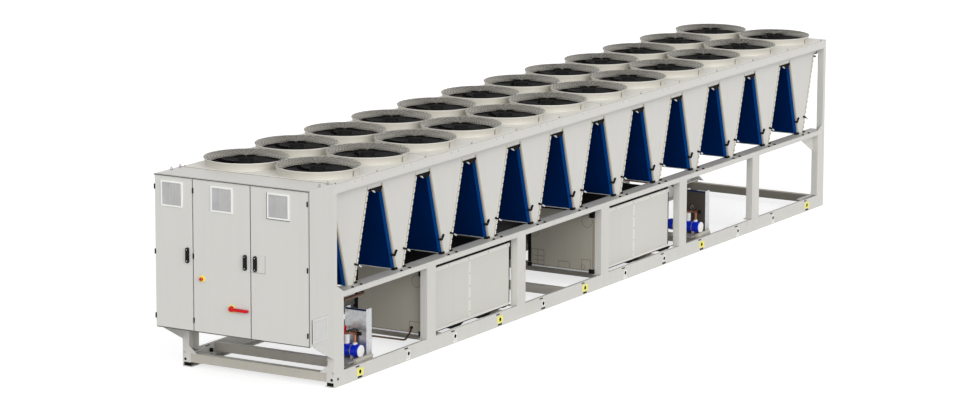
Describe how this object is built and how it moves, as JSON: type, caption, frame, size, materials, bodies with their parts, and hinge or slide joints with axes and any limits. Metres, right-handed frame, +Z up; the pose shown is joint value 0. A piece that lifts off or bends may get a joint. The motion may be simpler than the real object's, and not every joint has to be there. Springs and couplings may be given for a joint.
{
  "type": "air-cooled screw chiller",
  "caption": "Long air-cooled screw chiller: open base frame, V-shaped coils with blue fins under a fan deck, compressor sound boxes, and a control cabinet with hinged doors at one end.",
  "frame": {"origin": "on the ground, under the middle of the whole machine", "axes": "+Z up, +X from the control cabinet to the other end, -Y is the long side with the sound boxes"},
  "size_m": [14.428, 2.3, 2.67],
  "materials": {
    "frame_paint": "satin warm grey powder coat",
    "panel_paint": "satin warm grey powder coat on folded sheet",
    "deck_and_fans": "warm grey bell mouths with black fans and guards",
    "coil_blue": "dark blue coated aluminium fins",
    "cabinet_paint": "satin warm grey powder coat",
    "sound_box_paint": "satin warm grey powder coat",
    "black_insulation": "matt black closed-cell insulation",
    "drier_parts": "blue drier shell, copper pipes and zinc-plated brackets",
    "switch_red": "glossy red lever"
  },
  "bodies": {
    "chassis": {"base_cross_1": "frame_paint", "base_cross_2": "frame_paint", "base_cross_3": "frame_paint", "base_cross_4": "frame_paint", "base_cross_5": "frame_paint", "base_cross_6": "frame_paint", "base_cross_7": "frame_paint", "base_cross_8": "frame_paint", "base_cross_9": "frame_paint", "base_rail_far": "frame_paint", "base_rail_near": "frame_paint", "cabinet_shell": "cabinet_paint", "coil_bank_1": "coil_blue", "coil_bank_2": "coil_blue", "coil_bank_3": "coil_blue", "coil_bank_4": "coil_blue", "coil_bank_5": "coil_blue", "coil_bank_6": "coil_blue", "drier_group_1": "drier_parts", "drier_group_2": "drier_parts", "evaporator": "black_insulation", "fan_deck_1": "deck_and_fans", "fan_deck_2": "deck_and_fans", "fan_deck_3": "deck_and_fans", "fan_deck_4": "deck_and_fans", "fan_deck_5": "deck_and_fans", "fan_deck_6": "deck_and_fans", "mid_rail_far": "frame_paint", "mid_rail_near": "frame_paint", "post_far_1": "frame_paint", "post_far_2": "frame_paint", "post_far_3": "frame_paint", "post_far_4": "frame_paint", "post_far_5": "frame_paint", "post_far_6": "frame_paint", "post_far_7": "frame_paint", "post_near_1": "frame_paint", "post_near_2": "frame_paint", "post_near_3": "frame_paint", "post_near_4": "frame_paint", "post_near_5": "frame_paint", "post_near_6": "frame_paint", "post_near_7": "frame_paint", "side_panel_far": "panel_paint", "side_panel_near": "panel_paint", "sound_box_1": "sound_box_paint", "sound_box_2": "sound_box_paint"},
    "door_1": {"door_1": "cabinet_paint"},
    "door_2": {"door_2": "cabinet_paint"},
    "door_3": {"door_3": "cabinet_paint"},
    "switch": {"main_switch": "switch_red"}
  },
  "joints": [
    {"name": "door_1_hinge", "type": "hinge", "parent": "chassis", "child": "door_1", "pos_m": [-7.163, 1.134, 0.64], "axis": [0, 0, -1], "range_deg": [0, 110]},
    {"name": "door_2_hinge", "type": "hinge", "parent": "chassis", "child": "door_2", "pos_m": [-7.163, 0.559, 0.64], "axis": [0, 0, -1], "range_deg": [0, 110]},
    {"name": "door_3_hinge", "type": "hinge", "parent": "chassis", "child": "door_3", "pos_m": [-7.163, -1.134, 0.64], "axis": [0, 0, 1], "range_deg": [0, 110]},
    {"name": "main_switch_turn", "type": "hinge", "parent": "door_2", "child": "switch", "pos_m": [-7.1593, -0.01, 0.985], "axis": [-1, 0, 0], "range_deg": [0, 90]}
  ]
}
